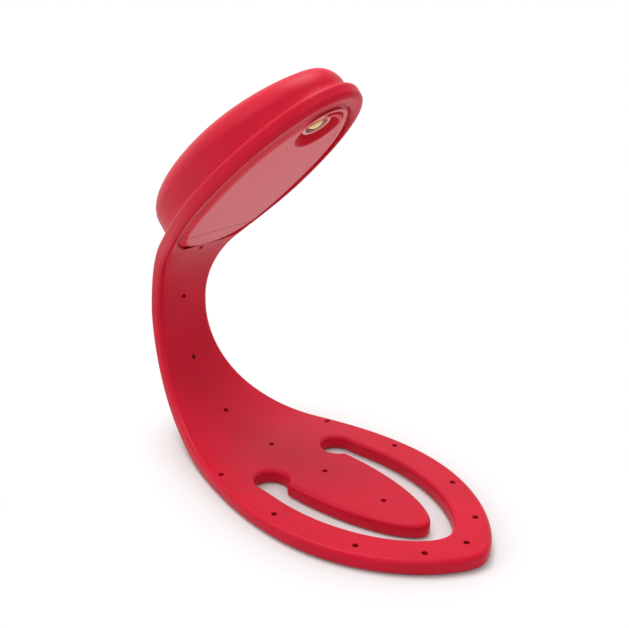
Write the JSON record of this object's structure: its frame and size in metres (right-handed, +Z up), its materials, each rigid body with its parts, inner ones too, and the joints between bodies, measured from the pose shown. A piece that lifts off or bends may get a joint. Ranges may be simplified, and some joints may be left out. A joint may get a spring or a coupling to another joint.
{
  "type": "clip-on book light",
  "caption": "Soft flexible book light: flat clip with a page tongue, a neck that bends and keeps its shape, and an oval battery head with a round lamp.",
  "frame": {"origin": "centre of the bounding box's footprint on the table", "axes": "+X from the neck towards the clip's tip, +Y across the clip, +Z up from the table"},
  "size_m": [0.0952, 0.047, 0.0928],
  "materials": {
    "soft_red": "soft, satin",
    "core_metal": "rolled",
    "panel_red": "fine matte texture",
    "tray_plastic": "matte",
    "board_green": "lacquered",
    "screw_metal": "plain",
    "cell_can": "bright",
    "contact_brass": "bright",
    "lens_clear": "clear",
    "phosphor_yellow": "matte",
    "lead_metal": "tinned",
    "holder_pale": "satin",
    "chip_dark": "matte",
    "plunger_pale": "plain"
  },
  "bodies": {
    "clip": {"clip_ring": "soft_red", "clip_core": "core_metal"},
    "tongue": {"tongue": "soft_red", "tongue_core": "core_metal"},
    "neck_1": {"neck_sleeve_1": "soft_red", "neck_core_1": "core_metal"},
    "neck_2": {"neck_sleeve_2": "soft_red", "neck_core_2": "core_metal"},
    "neck_3": {"neck_sleeve_3": "soft_red", "neck_core_3": "core_metal"},
    "neck_4": {"neck_sleeve_4": "soft_red", "neck_core_4": "core_metal"},
    "neck_5": {"neck_sleeve_5": "soft_red", "neck_core_5": "core_metal"},
    "neck_6": {"neck_sleeve_6": "soft_red", "neck_core_6": "core_metal"},
    "neck_7": {"neck_sleeve_7": "soft_red", "neck_core_7": "core_metal"},
    "head": {"head_cover": "soft_red", "head_core": "core_metal", "panel_heel": "panel_red", "tray": "tray_plastic", "circuit_board": "board_green", "board_screws": "screw_metal", "coin_cell_1": "cell_can", "coin_cell_2": "cell_can", "contact_negative": "contact_brass", "contact_positive": "contact_brass", "led_lens": "lens_clear", "led_phosphor": "phosphor_yellow", "led_leads": "lead_metal", "led_holder": "holder_pale", "resistor": "chip_dark", "switch_body": "chip_dark"},
    "battery_cover": {"battery_cover": "panel_red"},
    "button": {"power_button": "soft_red", "switch_plunger": "plunger_pale"}
  },
  "joints": [
    {"name": "tongue_flex", "type": "hinge", "parent": "clip", "child": "tongue", "pos_m": [-0.00201, 0, 0.0018], "axis": [0, -1, 0], "range_deg": [-15, 25]},
    {"name": "neck_bend_1", "type": "hinge", "parent": "clip", "child": "neck_1", "pos_m": [-0.01729, 0, 0.00186], "axis": [0, 1, 0], "range_deg": [-10.56, 3.7]},
    {"name": "neck_bend_2", "type": "hinge", "parent": "neck_1", "child": "neck_2", "pos_m": [-0.02567, 0, 0.00343], "axis": [0, 1, 0], "range_deg": [-14.23, 4.99]},
    {"name": "neck_bend_3", "type": "hinge", "parent": "neck_2", "child": "neck_3", "pos_m": [-0.03341, 0, 0.00701], "axis": [0, 1, 0], "range_deg": [-16.98, 5.95]},
    {"name": "neck_bend_4", "type": "hinge", "parent": "neck_3", "child": "neck_4", "pos_m": [-0.03976, 0, 0.01268], "axis": [0, 1, 0], "range_deg": [-18.25, 6.4]},
    {"name": "neck_bend_5", "type": "hinge", "parent": "neck_4", "child": "neck_5", "pos_m": [-0.04402, 0, 0.02005], "axis": [0, 1, 0], "range_deg": [-18.25, 6.39]},
    {"name": "neck_bend_6", "type": "hinge", "parent": "neck_5", "child": "neck_6", "pos_m": [-0.04576, 0, 0.02839], "axis": [0, 1, 0], "range_deg": [-18.25, 6.4]},
    {"name": "neck_bend_7", "type": "hinge", "parent": "neck_6", "child": "neck_7", "pos_m": [-0.0448, 0, 0.03685], "axis": [0, 1, 0], "range_deg": [-18.25, 6.4]},
    {"name": "neck_bend_8", "type": "hinge", "parent": "neck_7", "child": "head", "pos_m": [-0.04123, 0, 0.04458], "axis": [0, 1, 0], "range_deg": [-21.83, 7.65]},
    {"name": "battery_cover_lift", "type": "slide", "parent": "head", "child": "battery_cover", "axis": [0.6877, 0, -0.726], "range_m": [0, 0.012]},
    {"name": "power_press", "type": "slide", "parent": "head", "child": "button", "axis": [0.6877, 0, -0.726], "range_m": [0, 0.00035], "stiffness_N_per_m": 3000, "springref_m": -0.0002}
  ],
  "couplings": [
    {"joint": "neck_bend_2", "follows": "neck_bend_1", "ratio": 1.3465},
    {"joint": "neck_bend_3", "follows": "neck_bend_1", "ratio": 1.6065},
    {"joint": "neck_bend_4", "follows": "neck_bend_1", "ratio": 1.7276},
    {"joint": "neck_bend_6", "follows": "neck_bend_5", "ratio": 1},
    {"joint": "neck_bend_7", "follows": "neck_bend_5", "ratio": 1},
    {"joint": "neck_bend_8", "follows": "neck_bend_5", "ratio": 1.1961}
  ]
}
